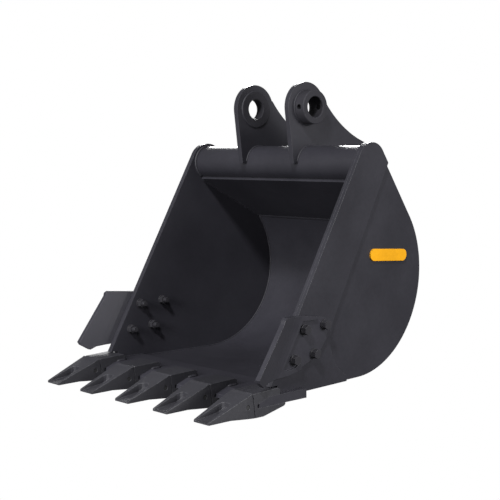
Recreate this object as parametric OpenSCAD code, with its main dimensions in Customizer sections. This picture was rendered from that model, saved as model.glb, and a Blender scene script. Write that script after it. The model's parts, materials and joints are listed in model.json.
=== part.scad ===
// General-purpose digging bucket for a crawler excavator, pin-on type.
// Millimetres, +Z up. Origin: axis of the stick pin, halfway across the bucket.
// +X is the operator's right-hand side, the mouth faces -Y, the link pin is on +Y.
// The profile numbers below are (y, z) with the floor of the bucket level; every
// node is then tipped by "tip_back" so the bucket rests on its heel and adapters.

/* [Overall size] */
// Outside width over the two side bars, at the lip
bucket_w = 1200; // [1100:10:1300]
// How much each side runs in behind the mouth plane, in mm per mm
side_taper = 0.074; // [0.060:0.002:0.080]
// Number of teeth
teeth = 5; // [5]
// Distance between tooth centres
tooth_pitch = 278; // [265:1:280]

/* [Shell] */
// Wrapper and inner box plate thickness
shell_t = 14; // [10:1:16]
// Side plate thickness
side_t = 14; // [12:1:18]
// Side bar (doubler) thickness
bar_t = 16; // [12:1:20]
// Heel arc radius, outside
heel_r = 454; // [446:2:460]
// Lean of the front edge of the side plates from vertical
mouth_lean = 30; // [29:0.5:31]
// Torque tube outside diameter
tube_d = 168; // [160:2:176]
// Torque tube wall
tube_wall = 14; // [10:1:18]

/* [Lip] */
// Lip plate thickness
lip_t = 40; // [36:1:42]
// Lip plate depth, nose to rear edge
lip_depth = 278; // [270:1:300]

/* [Pin mountings] */
// Pin bore diameter
pin_d = 100; // [90:1:104]
// Clear gap between the two ear plates
ear_gap = 336; // [320:2:350]
// Ear plate thickness
ear_t = 27; // [22:1:32]
// Outside diameter of the pin collars
collar_d = 162; // [150:1:166]
// Length of the long collar outside the right ear
collar_long = 60; // [50:1:64]
// Length of the short collar outside the left ear
collar_short = 20; // [10:1:24]
// Retaining bolt hole through each long collar
keeper_d = 26; // [20:1:28]

/* [Side cutters] */
// Cutter thickness at the wing
cutter_t = 24; // [22:1:28]
// How far the cutter's wing stands out from the side
wing_out = 38; // [34:1:46]
// Bolt size
bolt_d = 24; // [20:1:27]

/* [Hidden] */
$fn = 96;

steel = [0.20, 0.20, 0.215];
steel_dark = [0.15, 0.15, 0.16];
cast = [0.24, 0.245, 0.255];
bright = [0.33, 0.33, 0.34];

hw = bucket_w / 2;
taper_deg = atan(side_taper);

// Torque tube and the rounded end of the sides around it
tube_c = [21, -267];
tube_r = tube_d / 2;
end_r = tube_r + shell_t;
blend = 0.3; // straight edges run this far inside the round ends they leave

// Front edge of the sides: tangent to the rounded end, leaning back
fn = [-cos(mouth_lean), sin(mouth_lean)];
fd = [sin(mouth_lean), cos(mouth_lean)];
front_top = tube_c + (end_r - blend) * fn;
lip_top = -1229;
lip_nose = -715;
lip_rear = lip_nose + lip_depth;
function front_at(z) = [front_top[0] + (z - front_top[1]) * tan(mouth_lean), z];
front_foot = front_at(lip_top);

// Back profile: level floor, one round back, then straight up to the tube
floor_z = -1251;
heel_c = [-25, floor_z + heel_r];
bv = heel_c - tube_c;
back_lean = atan2(bv[1], bv[0]) + acos((end_r - heel_r) / norm(bv));
bn = [cos(back_lean), sin(back_lean)];
back_top = tube_c + (end_r - blend) * bn;
back_low = heel_c + (heel_r - blend) * bn;

// Pins
link_c = [425, -290];
ear_r = 120;
lobe_r = 110;
saddle_r = 600;

// Tip back until the heel and the adapters' lowest corners share one level
toe = [-736, -1309];
adapter_low = [-691, -1309];
cv = heel_c - adapter_low;
tip_back = acos(heel_r / norm(cv)) - atan2(cv[0], cv[1]);

adapter_w = 129;
tip_w = 97;
lock_c = [-777, -1258];
lock_r = 10.5;
lock_len = 125;

function tangent(p, c, r, s) =
    let (v = p - c, a = atan2(v[1], v[0]) + s * acos((r - blend) / norm(v)))
        c + (r - blend) * [cos(a), sin(a)];

// ---- helpers ----

module rest() { rotate([-tip_back, 0, 0]) children(); }

// a (y, z) outline carried along X from x0 to x1
module across(x0, x1) {
    translate([x0, 0, 0]) rotate([90, 0, 90]) linear_extrude(x1 - x0) children();
}

// a side's own frame: turned by the taper about its front edge, mirrored for the left
module on_side(s) {
    mirror([s < 0 ? 1 : 0, 0, 0])
        translate([hw, front_foot[0], lip_top])
            rotate(a = taper_deg, v = [0, sin(mouth_lean), cos(mouth_lean)])
                translate([-hw, -front_foot[0], -lip_top]) children();
}

// everything further out than "inset" from the outer face of a side
module beyond(s, inset) {
    on_side(s) translate([hw - inset, -2500, -3000]) cube([2500, 5000, 5000]);
}

module between_sides(inset) {
    difference() {
        children();
        beyond(1, inset);
        beyond(-1, inset);
    }
}

// the round stretch of the back, "g" in from the outer skin; it reaches a little
// past its tangent points so that the straight stretches overlap it
module back_arc(g) {
    intersection() {
        translate(heel_c) circle(r = heel_r - g);
        polygon([heel_c + [-5, 20], heel_c + [-5, -600], heel_c + [700, -600],
                 heel_c + 700 * [cos(back_lean + 3), sin(back_lean + 3)]]);
    }
}

// outline of the sides behind the front edge
module back_outline() {
    back_arc(0);
    polygon([[lip_rear, floor_z], [heel_c[0], floor_z], heel_c + [150, -150], heel_c + [200, 60],
             back_low, back_top, tube_c, tube_c + 50 * fn, [lip_rear, lip_top]]);
}

// the open space inside the skin, running out past the mouth and the tube
module inner_space() {
    back_arc(shell_t);
    polygon([[-900, floor_z + shell_t], [heel_c[0], floor_z + shell_t], heel_c + [150, -150],
             heel_c + [200, 60], back_low - shell_t * bn, back_top - shell_t * bn,
             back_top - shell_t * bn + 200 * [-bn[1], bn[0]], [-900, 0]]);
}

// a side between x0 and x1; its foot runs past the lip and is trimmed by foot_room()
module side_slab(x0, x1) {
    across(x0, x1) back_arc(0);
    across(x0, x1) polygon([[lip_rear - 20, floor_z], [heel_c[0], floor_z], heel_c + [150, -150],
                            heel_c + [200, 60], back_low, back_top, tube_c, tube_c + 50 * fn]);
    across(x0, x1) translate(tube_c) circle(r = end_r);
    across(x0, x1) polygon([front_top, tube_c, heel_c, [lip_rear + 40, floor_z + 1],
                            [lip_rear - 60, floor_z + 1], front_at(lip_top - 12)]);
}

// room for the lip under the foot of a side, and for an end adapter's strap over it
module foot_room() {
    translate([-1000, -1000, -1400]) cube([2000, 1000 + lip_rear, 1400 + lip_top]);
    for (k = [0, 1]) mirror([k, 0, 0])
        translate([440, -1000, -1400]) cube([400, 1000 - 589, 1400 - 1197]);
}

// the side bar: as wide as the rounded end at the top, flaring back at the foot
flare_r = 200;
rear_z0 = -1040;
rear_lean = mouth_lean - 2;
rn = [cos(rear_lean), -sin(rear_lean)];
rd = [-sin(rear_lean), -cos(rear_lean)];
rear_p = tube_c + (end_r + 7.5) * rn;
rear_q = rear_p + (rear_z0 - rear_p[1]) / rd[1] * rd;
flare_mid = rear_q + [flare_r / cos(rear_lean), 0];

module bar_slab(x0, x1) {
    difference() {
        side_slab(x0, x1);
        across(x0 - 1, x1 + 1) translate(flare_mid) circle(r = flare_r + blend);
        across(x0 - 1, x1 + 1) polygon([flare_mid - flare_r * rn, rear_p - 300 * rd,
                                        rear_p - 300 * rd + [800, 0], [900, rear_z0], flare_mid]);
        across(x0 - 1, x1 + 1) translate([-125, -1400]) square([1100, 1410 + rear_z0]);
    }
}

// ---- welded body ----

module wrapper_shell() {
    color(steel) rest() between_sides(bar_t + side_t) across(-hw, hw) difference() {
        back_outline();
        inner_space();
        translate(tube_c) circle(r = tube_r);
    }
}

// flat plate under the tube that closes the box at the back of the mouth
box_lean = 29.4;
box_n = [-sin(box_lean), -cos(box_lean)];
box_d = [cos(box_lean), -sin(box_lean)];
box_start = tube_c + tube_r * box_n - 3 * box_d;

module inner_box_plate() {
    color(steel_dark) rest() between_sides(bar_t + side_t) across(-hw, hw) intersection() {
        polygon([box_start, box_start + 700 * box_d, box_start + 700 * box_d + shell_t * box_n,
                 box_start + shell_t * box_n]);
        inner_space();
    }
}

module torque_tube() {
    color(steel) rest() between_sides(bar_t + side_t) across(-hw, hw) translate(tube_c) difference() {
        circle(r = tube_r);
        circle(r = tube_r - tube_wall);
    }
}

// the lip's square ends stand out past the sides, flush with the end adapters
lip_end = (teeth - 1) / 2 * tooth_pitch + adapter_w / 2;

module lip_plate() {
    color(steel) rest() across(-lip_end, lip_end)
        polygon([[lip_rear, lip_top], [lip_rear, lip_top - lip_t], [lip_nose, lip_top - lip_t],
                 [lip_nose, lip_top - 22], [lip_nose + 62, lip_top]]);
}

module side_plate(s) {
    color(steel) rest() difference() {
        on_side(s) difference() {
            side_slab(hw - bar_t - side_t, hw - bar_t);
            bolt_places() bolt_hole();
        }
        foot_room();
    }
}

module side_bar(s) {
    color(steel) rest() difference() {
        on_side(s) difference() {
            bar_slab(hw - bar_t, hw);
            bolt_places() bolt_hole();
        }
        foot_room();
    }
}

// ---- ears and pin collars ----

ev = link_c;
el = norm(ev);
reach_ear = saddle_r + ear_r - blend;
reach_lobe = saddle_r + lobe_r - blend;
e_along = (pow(reach_ear, 2) - pow(reach_lobe, 2) + el * el) / (2 * el);
e_up = sqrt(pow(reach_ear, 2) - e_along * e_along);
ea = ev / el;
saddle_c = e_along * ea + e_up * [-ea[1], ea[0]];
ear_foot = [-90, -265];
ear_tail = heel_c + heel_r * [cos(18), sin(18)];

// everything on the bucket's side of the wrapper's outer skin, up to the wrapper's top end
module back_skin() {
    translate(heel_c) circle(r = heel_r);
    polygon([tube_c, back_top, back_low, heel_c]);
}

module ear(s) {
    x0 = ear_gap / 2;
    x1 = x0 + ear_t;
    color(steel) rest() mirror([s < 0 ? 1 : 0, 0, 0]) difference() {
        union() {
            across(x0, x1) circle(r = ear_r);
            across(x0, x1) translate(link_c) circle(r = lobe_r);
            across(x0, x1) polygon([
                ear_foot, tangent(ear_foot, [0, 0], ear_r, -1), [0, 0],
                0.9 * ear_r * saddle_c / norm(saddle_c),
                link_c + 0.9 * lobe_r * (saddle_c - link_c) / norm(saddle_c - link_c), link_c,
                tangent(ear_tail, link_c, lobe_r, 1), ear_tail, heel_c + [0, 100], tube_c]);
        }
        across(x0 - 1, x1 + 1) translate(saddle_c) circle(r = saddle_r);
        across(x0 - 1, x1 + 1) translate(tube_c) circle(r = tube_r);
        across(x0 - 1, x1 + 1) back_skin();
        across(x0 - 1, x1 + 1) translate([-300, -665]) square([320, 400]);
        across(x0 - 1, x1 + 1) circle(r = collar_d / 2);
        across(x0 - 1, x1 + 1) translate(link_c) circle(r = collar_d / 2);
    }
}

flange_t = 6;

// turned collar welded through an ear: flange inside, boss outside
module collar(s, c, out) {
    x0 = ear_gap / 2;
    len = ear_t + out;
    color(steel) rest() translate([0, c[0], c[1]]) mirror([s < 0 ? 1 : 0, 0, 0]) difference() {
        translate([x0 - flange_t, 0, 0]) rotate([0, 90, 0]) rotate_extrude() difference() {
            polygon([[0, 0], [86, 0], [86, flange_t], [collar_d / 2, flange_t],
                     [collar_d / 2, flange_t - 3 + len], [collar_d / 2 - 3, flange_t + len],
                     [0, flange_t + len]]);
            square([pin_d / 2, 300]);
            translate([0, flange_t - 3 + len])
                polygon([[0, 0], [pin_d / 2, 0], [pin_d / 2 + 3, 3], [0, 3]]);
        }
        if (out > 30)
            translate([x0 + ear_t + out / 2, 0, 0]) rotate([90, 0, 0])
                cylinder(d = keeper_d, h = 2 * collar_d, center = true);
    }
}

// ---- lip, adapters, teeth ----

function tooth_x(i) = (i - (teeth + 1) / 2) * tooth_pitch;

// the adapter's nose inside the tooth
module tongue(back) {
    across(-42, 42) polygon([[back, -1251 + 0.4 * (back + 822)], [-822, -1251], [-826, -1257],
                             [-822, -1285], [back, -1285 - 0.14 * (back + 822)]]);
}

module lock_bore() {
    translate([0, lock_c[0], lock_c[1]]) rotate([0, 90, 0])
        cylinder(r = lock_r + 0.05, h = 400, center = true);
}

module adapter(i) {
    slot = lip_nose - 9;
    color(cast) rest() translate([tooth_x(i), 0, 0]) difference() {
        union() {
            across(-adapter_w / 2, adapter_w / 2) polygon([
                [-748.5, -1207], [-744, -1204.5], [-608, -1200], [-594, -1206], [-594, lip_top],
                [lip_nose + 62, lip_top], [lip_nose, lip_top - 22], [slot, lip_top - 25],
                [slot, lip_top - lip_t], [-564, lip_top - lip_t], [-564, -1276], [-571, -1282],
                adapter_low, toe]);
            tongue(-737);
        }
        lock_bore();
    }
}

module tooth(i) {
    tip_y = -977;
    side_y = -782;
    color(cast) rest() translate([tooth_x(i), 0, 0]) difference() {
        intersection() {
            across(-80, 80) polygon([[-752, -1207], [-757, -1203.5], [-767, -1209], [-973, -1290],
                                     [tip_y, -1293], [tip_y, -1302], [-868, -1299], [-739.5, -1309]]);
            translate([0, 0, -1400]) linear_extrude(300) polygon([
                [-tip_w / 2, tip_y], [tip_w / 2, tip_y], [adapter_w / 2, side_y],
                [adapter_w / 2, -700], [-adapter_w / 2, -700], [-adapter_w / 2, side_y]]);
        }
        // scoop: a channel with a round end wall, open at the tip
        intersection() {
            across(-60, 60) polygon([[-990, -1299], [-990, -1220], [-836, -1220], [-838, -1256],
                                     [-845, -1270], [-862, -1279], [-950, -1293]]);
            translate([0, 0, -1400]) linear_extrude(300) polygon([
                [-14, -838], [14, -838], [26, -843], [32, -856], [40, -977], [41, -992],
                [-41, -992], [-40, -977], [-32, -856], [-26, -843]]);
        }
        // socket over the adapter's nose
        intersection() {
            tongue(-700);
            translate([-100, -900, -1400]) cube([200, 170, 400]);
        }
        lock_bore();
    }
}

module lock_pin(i) {
    color(bright) rest() translate([tooth_x(i) - lock_len / 2, lock_c[0], lock_c[1]])
        rotate([0, 90, 0]) rotate_extrude()
            polygon([[0, 0], [lock_r - 1.5, 0], [lock_r, 1.5], [lock_r, lock_len - 1.5],
                     [lock_r - 1.5, lock_len], [0, lock_len]]);
}

// ---- bolt-on side cutters ----

base_t = 14;
head_h = 20;
washer_h = [8, 4]; // outside, inside
function bolt_yz(i) = front_at([-970, -963, -1094, -1084][i]) + [[56, 184, 65, 188][i], 0];

module bolt_places() {
    for (i = [0:3]) translate([hw, bolt_yz(i)[0], bolt_yz(i)[1]]) rotate([0, 90, 0]) children();
}

module bolt_hole() { cylinder(d = bolt_d + 2, h = 200, center = true); }

// outline seen from the side
module cutter_outline() {
    polygon([[-607, -922], [-602, -906], [-588, -898], [-462, -908], [-330, -927], [-299, -935],
             [-280, -956], [-290, -1030], [-345, -1098], [-415, -1122], [-478, -1146], [-545, -1157],
             [-640, -1161], [-685, -1166], [-715, -1179], [-757, -1152], [-764, -1138]]);
}

// the thin part behind the wing, where the bolt heads stand
module cutter_recess() {
    polygon([[-456, -931], [-573, -1117], [-573, -1128], [-563, -1137], [-500, -1129],
             [-466, -1112], [-450, -1200], [-230, -1200], [-230, -880], [-345, -880], [-372, -935]]);
}

// section across the front edge: flat base, then a wing bent outwards
module cutter_section() {
    k = wing_out / 125;
    polygon([[260, 0], [0, 0], [-25, 3], [-50, 9], [-170, 9 + 120 * k],
             [-170, 9 + 120 * k + 1.02 * cutter_t], [-46, 9 - 4 * k + 1.02 * cutter_t],
             [-22, cutter_t + 3], [0, cutter_t], [260, cutter_t]]);
}

module side_cutter(s) {
    color(steel_dark) rest() on_side(s) difference() {
        intersection() {
            translate([hw, front_top[0], front_top[1]]) rotate([-mouth_lean, 0, 0])
                translate([0, 0, -1200]) linear_extrude(1200)
                    rotate(90) mirror([0, 1, 0]) cutter_section();
            across(hw - 1, hw + 200) cutter_outline();
        }
        across(hw + base_t, hw + 200) cutter_recess();
        bolt_places() bolt_hole();
    }
}

module cutter_bolts(s) {
    color(bright) rest() on_side(s) bolt_places() {
        translate([0, 0, base_t + washer_h[0]]) cylinder(r = bolt_d * 0.9, h = head_h, $fn = 6);
        translate([0, 0, -bar_t - side_t - 50]) cylinder(d = bolt_d, h = base_t + bar_t + side_t + 50 + washer_h[0]);
    }
}

module washer(h) {
    difference() {
        cylinder(r = 23, h = h);
        translate([0, 0, -1]) cylinder(r = bolt_d / 2 + 0.5, h = h + 2);
    }
}

module cutter_washers(s) {
    color(bright) rest() on_side(s) bolt_places() {
        translate([0, 0, base_t]) washer(washer_h[0]);
        translate([0, 0, -bar_t - side_t - washer_h[1]]) washer(washer_h[1]);
    }
}

module cutter_nuts(s) {
    color(bright) rest() on_side(s) bolt_places()
        translate([0, 0, -bar_t - side_t - washer_h[1] - 22]) difference() {
            cylinder(r = bolt_d * 0.866, h = 22, $fn = 6);
            translate([0, 0, -1]) cylinder(d = bolt_d, h = 24);
        }
}

// blank raised plate on the right-hand side
module name_plate() {
    color([0.85, 0.6, 0.08]) rest() on_side(1)
        translate([hw - bar_t, 175, -697]) rotate([90, 0, 90]) rotate(-4.4) linear_extrude(8)
            union() {
                square([216, 56], center = true);
                for (k = [-1, 1]) translate([k * 108, 0]) circle(r = 28);
            }
}

wrapper_shell();
inner_box_plate();
torque_tube();
lip_plate();
side_plate(-1);  // side_plate_left
side_plate(1);  // side_plate_right
side_bar(-1);  // side_bar_left
side_bar(1);  // side_bar_right
ear(-1);  // ear_left
ear(1);  // ear_right
collar(-1, [0, 0], collar_short);  // stick_collar_left
collar(1, [0, 0], collar_long);  // stick_collar_right
collar(-1, link_c, collar_short);  // link_collar_left
collar(1, link_c, collar_long);  // link_collar_right
adapter(1);  // adapter_1
adapter(2);  // adapter_2
adapter(3);  // adapter_3
adapter(4);  // adapter_4
adapter(5);  // adapter_5
tooth(1);  // tooth_1
tooth(2);  // tooth_2
tooth(3);  // tooth_3
tooth(4);  // tooth_4
tooth(5);  // tooth_5
lock_pin(1);  // lock_pin_1
lock_pin(2);  // lock_pin_2
lock_pin(3);  // lock_pin_3
lock_pin(4);  // lock_pin_4
lock_pin(5);  // lock_pin_5
side_cutter(-1);  // side_cutter_left
side_cutter(1);  // side_cutter_right
cutter_bolts(-1);  // cutter_bolts_left
cutter_bolts(1);  // cutter_bolts_right
cutter_washers(-1);  // cutter_washers_left
cutter_washers(1);  // cutter_washers_right
cutter_nuts(-1);  // cutter_nuts_left
cutter_nuts(1);  // cutter_nuts_right
name_plate();
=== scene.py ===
import json
import math
import random

import bmesh
import bpy
from mathutils import Matrix, Vector


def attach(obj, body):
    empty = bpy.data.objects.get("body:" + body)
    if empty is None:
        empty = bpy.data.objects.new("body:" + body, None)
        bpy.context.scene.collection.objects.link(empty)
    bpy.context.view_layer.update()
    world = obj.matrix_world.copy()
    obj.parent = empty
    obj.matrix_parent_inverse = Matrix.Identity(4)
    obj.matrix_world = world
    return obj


SEED = 7

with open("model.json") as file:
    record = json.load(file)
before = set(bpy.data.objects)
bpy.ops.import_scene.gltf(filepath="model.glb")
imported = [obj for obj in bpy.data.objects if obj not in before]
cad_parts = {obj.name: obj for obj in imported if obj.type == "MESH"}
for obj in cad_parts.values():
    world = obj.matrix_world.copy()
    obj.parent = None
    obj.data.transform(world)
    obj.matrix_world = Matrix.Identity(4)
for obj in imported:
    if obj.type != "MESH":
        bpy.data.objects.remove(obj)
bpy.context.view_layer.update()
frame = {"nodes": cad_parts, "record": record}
NODES = frame["nodes"]
scene = bpy.context.scene

# ---- the bucket's own numbers, millimetres, in its level frame ----
TIP_BACK = math.radians(4.83850)
HALF_W = 600.0
TAPER = math.atan(0.074)
BAR_T = 16.0
SIDE_T = 14.0
SHELL_T = 14.0
MOUTH_LEAN = math.radians(30)
TUBE_C = (21.0, -267.0)
TUBE_R = 84.0
END_R = TUBE_R + SHELL_T
HEEL_C = (-25.0, -797.0)
HEEL_R = 454.0
FLOOR_Z = -1251.0
LIP_TOP = -1229.0
LIP_T = 40.0
LIP_NOSE = -715.0
LIP_REAR = -437.0
EAR_IN = 168.0
EAR_OUT = 195.0
LINK_C = (425.0, -290.0)
ADAPTER_HALF = 64.5
TOOTH_PITCH = 278.0
BOX_LEAN = math.radians(29.4)

INSET = BAR_T + SIDE_T
ADAPTER_TOP_REAR = -594.0
ADAPTER_LOW_REAR = -564.0
BOSS_R = 81.0
FLANGE_R = 86.0
BAR_REAR_LEAN = MOUTH_LEAN - math.radians(2)
BAR_REAR_OUT = 7.5
BAR_REAR_RISE = 22.0
BAR_FLARE_R = 200.0
BAR_FLARE_Z = -1040.0
BAR_FLARE_END = 245
EAR_HEEL_END = 18.5
FRONT_SETBACK = 0.3

# the front edge and the straight back as outward normals and the points they meet
FRONT_N = (-math.cos(MOUTH_LEAN), math.sin(MOUTH_LEAN))
FRONT_TOP = tuple(c + (END_R - FRONT_SETBACK) * n for c, n in zip(TUBE_C, FRONT_N))
FOOT_Y = FRONT_TOP[0] + (LIP_TOP - FRONT_TOP[1]) * math.tan(MOUTH_LEAN)
TUBE_TO_HEEL = (HEEL_C[0] - TUBE_C[0], HEEL_C[1] - TUBE_C[1])
BACK_LEAN = (math.atan2(TUBE_TO_HEEL[1], TUBE_TO_HEEL[0])
             + math.acos((END_R - HEEL_R) / math.hypot(*TUBE_TO_HEEL)))
BACK_N = (math.cos(BACK_LEAN), math.sin(BACK_LEAN))

# weld beads: point spacing and starts in millimetres, legs in metres
WELD_STEP = 4.5
SEAM_START = 14.0
UNDER_START = 6.0
SIDE_GAP = 6.0
ADAPTER_GAP = 8.0
LEG = {"seam": 0.0045, "tube": 0.009, "box": 0.009, "ear": 0.0055, "collar": 0.0065,
       "lip": 0.010, "adapter": 0.009, "bar": 0.008}


def row(x, y, z):
    """level-frame millimetres to row-frame metres"""
    c, s = math.cos(TIP_BACK), math.sin(TIP_BACK)
    return Vector((x, y * c + z * s, -y * s + z * c)) / 1000


def row_dir(x, y, z):
    return (row(x, y, z) * 1000).normalized()


def side_x(s, y, z, inset):
    """x of a side's surface, inset from its outer face, at (y, z) in the level frame"""
    behind = (y - FOOT_Y) * math.cos(MOUTH_LEAN) - (z - LIP_TOP) * math.sin(MOUTH_LEAN)
    return s * (HALF_W - inset / math.cos(TAPER) - behind * math.tan(TAPER))


# ---- camera, placed in the level frame ----
CAM_POS = (4155.6, -3920.3, -152.2)
CAM_AZIMUTH = math.radians(-41.8390)
CAM_ELEVATION = math.radians(5.4104)
CAM_ROLL = math.radians(-0.7630)
CAM_LENS = 83.533


def camera_axes():
    """right, up and back of the camera, rolled about its line of sight"""
    flat = math.cos(CAM_ELEVATION)
    back = Vector((math.cos(CAM_AZIMUTH) * flat, math.sin(CAM_AZIMUTH) * flat,
                   math.sin(CAM_ELEVATION)))
    right = Vector((-math.sin(CAM_AZIMUTH), math.cos(CAM_AZIMUTH), 0.0))
    up = back.cross(right)
    c, r = math.cos(CAM_ROLL), math.sin(CAM_ROLL)
    return right * c + up * r, up * c - right * r, back


def make_camera():
    data = bpy.data.cameras.new("camera")
    data.lens = CAM_LENS
    data.sensor_width = 36.0
    data.clip_end = 80.0
    cam = bpy.data.objects.new("camera", data)
    m = Matrix([row_dir(*axis) for axis in camera_axes()]).transposed().to_4x4()
    m.translation = row(*CAM_POS)
    cam.matrix_world = m
    scene.collection.objects.link(cam)
    scene.camera = cam


# ---- materials ----
def new_material(name):
    mat = bpy.data.materials.new(name)
    mat.use_nodes = True
    tree = mat.node_tree
    tree.nodes.clear()
    return mat, tree.nodes, tree.links


def ramp(nodes, *stops):
    """a grey ramp between two (position, value) stops"""
    node = nodes.new("ShaderNodeValToRGB")
    cr = node.color_ramp
    for element, (pos, v) in zip(cr.elements, stops):
        element.position, element.color = pos, (v, v, v, 1.0)
    return node


def noise(nodes, links, coord, scale, detail, rough):
    n = nodes.new("ShaderNodeTexNoise")
    n.inputs["Scale"].default_value = scale
    n.inputs["Detail"].default_value = detail
    n.inputs["Roughness"].default_value = rough
    links.new(coord, n.inputs["Vector"])
    return n


def rounded_normal(nodes, radius):
    n = nodes.new("ShaderNodeBevel")
    n.samples = 6
    n.inputs["Radius"].default_value = radius
    return n.outputs[0]


def mix_colour(nodes, links, fac, a, b, blend="MIX"):
    """a and b are colours or sockets, fac a number or a socket"""
    m = nodes.new("ShaderNodeMix")
    m.data_type = "RGBA"
    m.blend_type = blend
    for sock, val in ((m.inputs[0], fac), (m.inputs[6], a), (m.inputs[7], b)):
        if isinstance(val, (int, float)):
            sock.default_value = val
        elif isinstance(val, tuple):
            sock.default_value = (*val, 1.0)
        else:
            links.new(val, sock)
    return m.outputs[2]


def math_node(nodes, links, op, a, b=None, clamp=False):
    """a and b are numbers or sockets"""
    m = nodes.new("ShaderNodeMath")
    m.operation = op
    m.use_clamp = clamp
    for sock, val in zip(m.inputs, (a, b)):
        if val is None:
            continue
        if isinstance(val, (int, float)):
            sock.default_value = val
        else:
            links.new(val, sock)
    return m.outputs[0]


def painted(name, colour, edge_colour, rough, wear, grain=1.0, bevel=0.0022, specular=0.20):
    """paint over steel: slow mottling, fine orange peel, and lighter rubbed edges"""
    full_rub = 0.10
    mat, nodes, links = new_material(name)
    out = nodes.new("ShaderNodeOutputMaterial")
    bsdf = nodes.new("ShaderNodeBsdfPrincipled")
    bsdf.inputs["Specular IOR Level"].default_value = specular
    links.new(bsdf.outputs[0], out.inputs[0])
    coord = nodes.new("ShaderNodeTexCoord").outputs["Object"]

    broad = noise(nodes, links, coord, scale=3.1, detail=4.0, rough=0.55)
    fine = noise(nodes, links, coord, scale=60.0, detail=5.0, rough=0.6)
    peel = noise(nodes, links, coord, scale=420.0, detail=2.0, rough=0.5)

    # rubbed edges: where a rounded normal leaves the face normal by full_rub or more
    round_n = rounded_normal(nodes, bevel)
    geo = nodes.new("ShaderNodeNewGeometry")
    dot = nodes.new("ShaderNodeVectorMath")
    dot.operation = "DOT_PRODUCT"
    links.new(rounded_normal(nodes, bevel * 1.6), dot.inputs[0])
    links.new(geo.outputs["Normal"], dot.inputs[1])
    edge = math_node(nodes, links, "SUBTRACT", 1.0, dot.outputs["Value"])
    edge = math_node(nodes, links, "MULTIPLY", edge, 1.0 / full_rub, True)
    breakup = ramp(nodes, (0.36, 0.0), (0.66, 1.0))
    links.new(fine.outputs[0], breakup.inputs[0])
    edge = math_node(nodes, links, "MULTIPLY", edge, breakup.outputs[0], True)
    edge = math_node(nodes, links, "MULTIPLY", edge, wear, True)

    tone = ramp(nodes, (0.30, 0.84), (0.70, 1.13))
    links.new(broad.outputs[0], tone.inputs[0])
    speck = ramp(nodes, (0.25, 0.92), (0.75, 1.06))
    links.new(fine.outputs[0], speck.inputs[0])
    base = mix_colour(nodes, links, 1.0, colour, tone.outputs[0], "MULTIPLY")
    base = mix_colour(nodes, links, 1.0, base, speck.outputs[0], "MULTIPLY")
    base = mix_colour(nodes, links, edge, base, edge_colour)
    links.new(base, bsdf.inputs["Base Color"])

    r_map = ramp(nodes, (0.2, rough - 0.06), (0.8, rough + 0.08))
    links.new(broad.outputs[0], r_map.inputs[0])
    r = math_node(nodes, links, "MULTIPLY_ADD", fine.outputs[0], 0.08)
    r.node.inputs[2].default_value = -0.04
    r = math_node(nodes, links, "ADD", r_map.outputs[0], r)
    links.new(r, bsdf.inputs["Roughness"])

    height = math_node(nodes, links, "MULTIPLY", peel.outputs[0], 0.35)
    height = math_node(nodes, links, "ADD", fine.outputs[0], height)
    bump = nodes.new("ShaderNodeBump")
    bump.inputs["Strength"].default_value = 0.30 * grain
    bump.inputs["Distance"].default_value = 0.0006
    links.new(height, bump.inputs["Height"])
    links.new(round_n, bump.inputs["Normal"])
    links.new(bump.outputs[0], bsdf.inputs["Normal"])
    return mat


def make_materials():
    edge = (0.060, 0.060, 0.068)
    mats = {
        "body_paint": painted("body_paint", (0.0155, 0.0151, 0.0192), edge, 0.42, 0.32),
        # edge_paint is body_paint made lighter: its extra lightness is a painted highlight on the edges
        # it covers, and its rubbed edges are wear
        "edge_paint": painted("edge_paint", (0.0185, 0.0180, 0.0228), edge, 0.42, 0.40),
        "collar_paint": painted("collar_paint", (0.0160, 0.0155, 0.0188), edge, 0.55, 0.40, 0.6,
                                specular=0.10),
        "cast_paint": painted("cast_paint", (0.0172, 0.0170, 0.0205), (0.07, 0.07, 0.078),
                              0.42, 0.50, 1.8, 0.0030, specular=0.30),
        "pin_steel": painted("pin_steel", (0.020, 0.020, 0.021), (0.10, 0.10, 0.10), 0.40, 0.5,
                             0.8, 0.0010),
        "fastener_paint": painted("fastener_paint", (0.0170, 0.0165, 0.0195), (0.08, 0.08, 0.08),
                                  0.38, 0.50, 0.8, 0.0014),
        "yellow_paint": painted("yellow_paint", (0.49, 0.225, 0.003), (0.70, 0.38, 0.05),
                                0.40, 0.25, 0.5, 0.0016),
        "weld_paint": painted("weld_paint", (0.0150, 0.0146, 0.0185), edge, 0.55, 0.05, 1.2,
                              0.0010),
    }
    slots = {s["node"]: s["material_slot"] for s in frame["record"]["subparts"]}
    for name, obj in NODES.items():
        for slot in obj.material_slots:
            slot.material = mats[slots[name]]
    return mats


# ---- weld beads ----
def bead(bm, path, leg, rng, closed=False):
    """one fillet: path is [(corner, dir_a, dir_b)]; the bead fills the corner between the two"""
    root, bulge, jitter = 0.0012, 0.42, 0.05
    rings = []
    n = len(path)
    for k, (p, a, b) in enumerate(path):
        swell = (1.0 if k % 2 else 0.90) + rng.uniform(-jitter, jitter)
        if not closed:
            swell *= min(1.0, 0.35 + 0.3 * min(k, n - 1 - k))
        ring = [p - (a + b) * root]
        for t in (0.0, 0.25, 0.5, 0.75, 1.0):
            ring.append(p + (a * (1 - t) + b * t) * leg * swell * (1.0 + bulge * math.sin(math.pi * t)))
        rings.append([bm.verts.new(v) for v in ring])
    for k in range(n if closed else n - 1):
        near, far = rings[k], rings[(k + 1) % n]
        for j in range(len(near)):
            nxt = (j + 1) % len(near)
            bm.faces.new((near[j], near[nxt], far[nxt], far[j]))
    if not closed:
        bm.faces.new(rings[0])
        bm.faces.new(reversed(rings[-1]))


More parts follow.
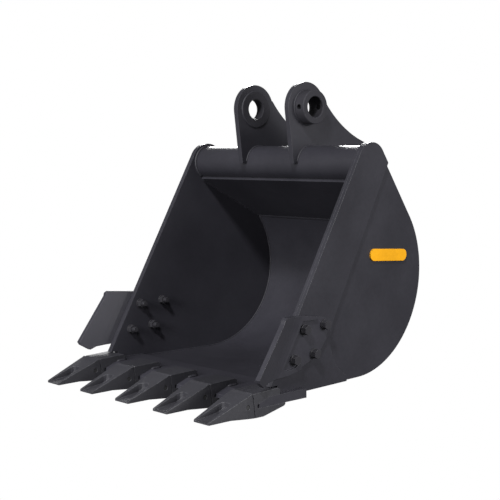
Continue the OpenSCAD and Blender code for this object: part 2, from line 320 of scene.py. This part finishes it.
def weld_object(name, beads, mats, leg):
    rng = random.Random(SEED + len(name))
    bm = bmesh.new()
    for item in beads:
        path, closed = item if isinstance(item, tuple) else (item, False)
        bead(bm, path, leg, rng, closed)
    bmesh.ops.recalc_face_normals(bm, faces=bm.faces)
    mesh = bpy.data.meshes.new(name)
    bm.to_mesh(mesh)
    bm.free()
    for p in mesh.polygons:
        p.use_smooth = True
    mesh.materials.append(mats["weld_paint"])
    obj = bpy.data.objects.new(name, mesh)
    scene.collection.objects.link(obj)
    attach(obj, "bucket")


# profiles are (y, z, ny, nz) in the level frame; paths are what bead() takes
def arc_pts(c, r, a0, a1):
    n = max(2, int(abs(math.radians(a1 - a0)) * r / WELD_STEP))
    for k in range(n + 1):
        a = math.radians(a0 + (a1 - a0) * k / n)
        yield c[0] + r * math.cos(a), c[1] + r * math.sin(a), math.cos(a), math.sin(a)


def line_pts(p, q, ny, nz):
    n = max(2, int(math.hypot(q[0] - p[0], q[1] - p[1]) / WELD_STEP))
    for k in range(n + 1):
        t = k / n
        yield p[0] + (q[0] - p[0]) * t, p[1] + (q[1] - p[1]) * t, ny, nz


def hollow_arc_pts(c, r, a0, a1):
    """an arc seen from inside, its normals turned to the centre"""
    for y, z, ny, nz in arc_pts(c, r, a0, a1):
        yield y, z, -ny, -nz


def flat_path(x, out, profile):
    """where a profile meets the plane at x, whose open side is towards out"""
    return [(row(x, y, z), row_dir(out, 0, 0), row_dir(0, ny, nz)) for y, z, ny, nz in profile]


def side_path(s, out, inset, profile):
    """where a profile meets a side's tapered surface"""
    return [(row(side_x(s, y, z, inset), y, z), row_dir(out, 0, 0), row_dir(0, ny, nz))
            for y, z, ny, nz in profile]


def cross_path(x_lo, x_hi, y, z, dir_a, dir_b):
    """straight across the bucket from x_lo to x_hi"""
    n = int((x_hi - x_lo) / WELD_STEP)
    return [(row(x_lo + (x_hi - x_lo) * k / n, y, z), dir_a, dir_b) for k in range(n + 1)]


def inner_profile(end_angle):
    """the wrapper's inner skin from the foot of the front edge to the box plate"""
    floor = FLOOR_Z + SHELL_T
    yield from line_pts((FOOT_Y + SEAM_START, LIP_TOP), (LIP_REAR, LIP_TOP), 0, 1)
    yield from line_pts((LIP_REAR, floor), (HEEL_C[0], floor), 0, 1)
    yield from hollow_arc_pts(HEEL_C, HEEL_R - SHELL_T, -90, end_angle)


def box_line():
    """the box plate's underside: a point near the tube, its normal and its direction rearwards"""
    lap = 3
    normal = (-math.sin(BOX_LEAN), -math.cos(BOX_LEAN))
    along = (math.cos(BOX_LEAN), -math.sin(BOX_LEAN))
    start = tuple(c + END_R * n - lap * d for c, n, d in zip(TUBE_C, normal, along))
    return start, normal, along


def box_meets_wrapper(start, along):
    """the point where the box plate's underside reaches the wrapper's inner skin"""
    r = HEEL_R - SHELL_T
    dy, dz = start[0] - HEEL_C[0], start[1] - HEEL_C[1]
    b = dy * along[0] + dz * along[1]
    reach = -b + math.sqrt(b * b - (dy * dy + dz * dz - r * r))
    return start[0] + reach * along[0], start[1] + reach * along[1]


def inner_welds(mats):
    start, normal, along = box_line()
    end = box_meets_wrapper(start, along)
    turn = math.atan2(end[1] - HEEL_C[1], end[0] - HEEL_C[0])
    under_from = (start[0] + UNDER_START * along[0], start[1] + UNDER_START * along[1])
    for s, word in ((-1, "left"), (1, "right")):
        seam = side_path(s, -s, INSET, inner_profile(math.degrees(turn)))
        under = side_path(s, -s, INSET, line_pts(under_from, end, *normal))
        tube = side_path(s, -s, INSET, arc_pts(TUBE_C, TUBE_R, 42, 236))
        weld_object("weld_inside_" + word, [seam, under], mats, LEG["seam"])
        weld_object("weld_tube_end_" + word, [tube], mats, LEG["tube"])
    half = side_x(1, end[0], end[1], INSET)
    rear = cross_path(-half, half, *end, row_dir(0, -along[0], -along[1]),
                      row_dir(0, math.sin(turn), -math.cos(turn)))
    weld_object("weld_box_rear", [rear], mats, LEG["box"])


def ear_welds(mats):
    """each ear's foot on the tube and the back, and its two collars"""
    back_top = (TUBE_C[0] + END_R * BACK_N[0], TUBE_C[1] + END_R * BACK_N[1])
    back_low = (HEEL_C[0] + HEEL_R * BACK_N[0], HEEL_C[1] + HEEL_R * BACK_N[1])
    for s, word in ((-1, "left"), (1, "right")):
        beads = []
        for x, out in ((EAR_IN, -1), (EAR_OUT, 1)):
            beads.append(flat_path(s * x, s * out, arc_pts(TUBE_C, TUBE_R, 176, 62)))
            back = list(line_pts(back_top, back_low, *BACK_N))
            back += arc_pts(HEEL_C, HEEL_R, math.degrees(BACK_LEAN), EAR_HEEL_END)
            beads.append(flat_path(s * x, s * out, back))
        weld_object("weld_ear_" + word, beads, mats, LEG["ear"])
        rings = []
        for c in ((0.0, 0.0), LINK_C):
            for x, out, r in ((EAR_OUT, 1, BOSS_R), (EAR_IN, -1, FLANGE_R)):
                ring = flat_path(s * x, s * out, arc_pts(c, r, 0, 360))
                rings.append((ring[:-1], True))
        weld_object("weld_collars_" + word, rings, mats, LEG["collar"])


def adapter_beads(cx):
    """both legs of one adapter on the lip, and the rear end of its upper leg"""
    low = LIP_TOP - LIP_T
    beads = []
    for e in (-1, 1):
        x = cx + e * ADAPTER_HALF
        if abs(x) < HALF_W - INSET - SIDE_GAP:
            top = line_pts((LIP_NOSE + 66, LIP_TOP), (ADAPTER_TOP_REAR, LIP_TOP), 0, 1)
            beads.append(flat_path(x, e, top))
        if abs(x) < HALF_W:
            under = line_pts((LIP_NOSE + 4, low), (ADAPTER_LOW_REAR, low), 0, -1)
            beads.append(flat_path(x, e, under))
    inner = HALF_W - INSET - ADAPTER_GAP
    x_lo, x_hi = max(cx - ADAPTER_HALF, -inner), min(cx + ADAPTER_HALF, inner)
    beads.append(cross_path(x_lo, x_hi, ADAPTER_TOP_REAR, LIP_TOP, row_dir(0, 1, 0),
                            row_dir(0, 0, 1)))
    return beads


def lip_welds(mats):
    half = side_x(1, LIP_REAR, FLOOR_Z, INSET)
    under = cross_path(-half, half, LIP_REAR, FLOOR_Z, row_dir(0, 1, 0), row_dir(0, 0, -1))
    weld_object("weld_lip_rear", [under], mats, LEG["lip"])
    for i in range(5):
        beads = adapter_beads((i - 2) * TOOTH_PITCH)
        weld_object("weld_adapter_%d" % (i + 1), beads, mats, LEG["adapter"])


def bar_welds(mats):
    """the rear edge of each side bar on the side plate: a straight run, then the flared foot"""
    normal = (math.cos(BAR_REAR_LEAN), -math.sin(BAR_REAR_LEAN))
    down = (-math.sin(BAR_REAR_LEAN), -math.cos(BAR_REAR_LEAN))
    rear = tuple(c + (END_R + BAR_REAR_OUT) * n for c, n in zip(TUBE_C, normal))
    at_flare = rear[0] + (BAR_FLARE_Z - rear[1]) / down[1] * down[0]
    mid = (at_flare + BAR_FLARE_R / math.cos(BAR_REAR_LEAN), BAR_FLARE_Z)
    foot = (mid[0] - BAR_FLARE_R * normal[0], mid[1] - BAR_FLARE_R * normal[1])
    turn = math.degrees(math.atan2(-normal[1], -normal[0]))
    top = (rear[0] - BAR_REAR_RISE * down[0], rear[1] - BAR_REAR_RISE * down[1])
    for s, word in ((-1, "left"), (1, "right")):
        edge = list(line_pts(top, foot, *normal))
        edge += hollow_arc_pts(mid, BAR_FLARE_R, turn, BAR_FLARE_END)
        weld_object("weld_side_bar_" + word, [side_path(s, s, BAR_T, edge)], mats, LEG["bar"])


# ---- light ----
SUN_FROM = (0.377, -0.589, 0.715)
SUN_POWER = 4.0
SUN_WIDTH = math.radians(7)
FILL = 0.23
# name, place, target, power
AREA_LIGHTS = [
    ("front", (0.3, -5.6, 1.2), (0, 0, -0.6), 520),
    ("side", (5.0, 0.8, 0.3), (0.6, 0, -0.6), 340),
    ("rear", (-4.0, 3.6, 1.4), (-0.2, 0.2, -0.5), 520),
]


def add_light(data, towards):
    obj = bpy.data.objects.new(data.name, data)
    obj.rotation_euler = towards.to_track_quat("-Z", "Y").to_euler()
    scene.collection.objects.link(obj)
    return obj


def make_world():
    """white where it is seen, dimmer as a fill light"""
    world = bpy.data.worlds.new("world")
    world.use_nodes = True
    nodes, links = world.node_tree.nodes, world.node_tree.links
    bg = nodes["Background"]
    bg.inputs[0].default_value = (1.0, 1.0, 1.0, 1)
    seen = nodes.new("ShaderNodeLightPath").outputs["Is Camera Ray"]
    fill = math_node(nodes, links, "MULTIPLY", seen, 1.0 - FILL)
    links.new(math_node(nodes, links, "ADD", fill, FILL), bg.inputs[1])
    scene.world = world


def make_lights():
    key = bpy.data.lights.new("key", "SUN")
    key.energy = SUN_POWER
    key.angle = SUN_WIDTH
    add_light(key, -row_dir(*SUN_FROM))
    for name, place, target, power in AREA_LIGHTS:
        data = bpy.data.lights.new(name, "AREA")
        data.energy = power
        data.size = 2.0
        add_light(data, Vector(target) - Vector(place)).location = place


def main():
    scene.view_settings.view_transform = "Standard"
    make_camera()
    mats = make_materials()
    inner_welds(mats)
    ear_welds(mats)
    lip_welds(mats)
    bar_welds(mats)
    make_world()
    make_lights()


main()
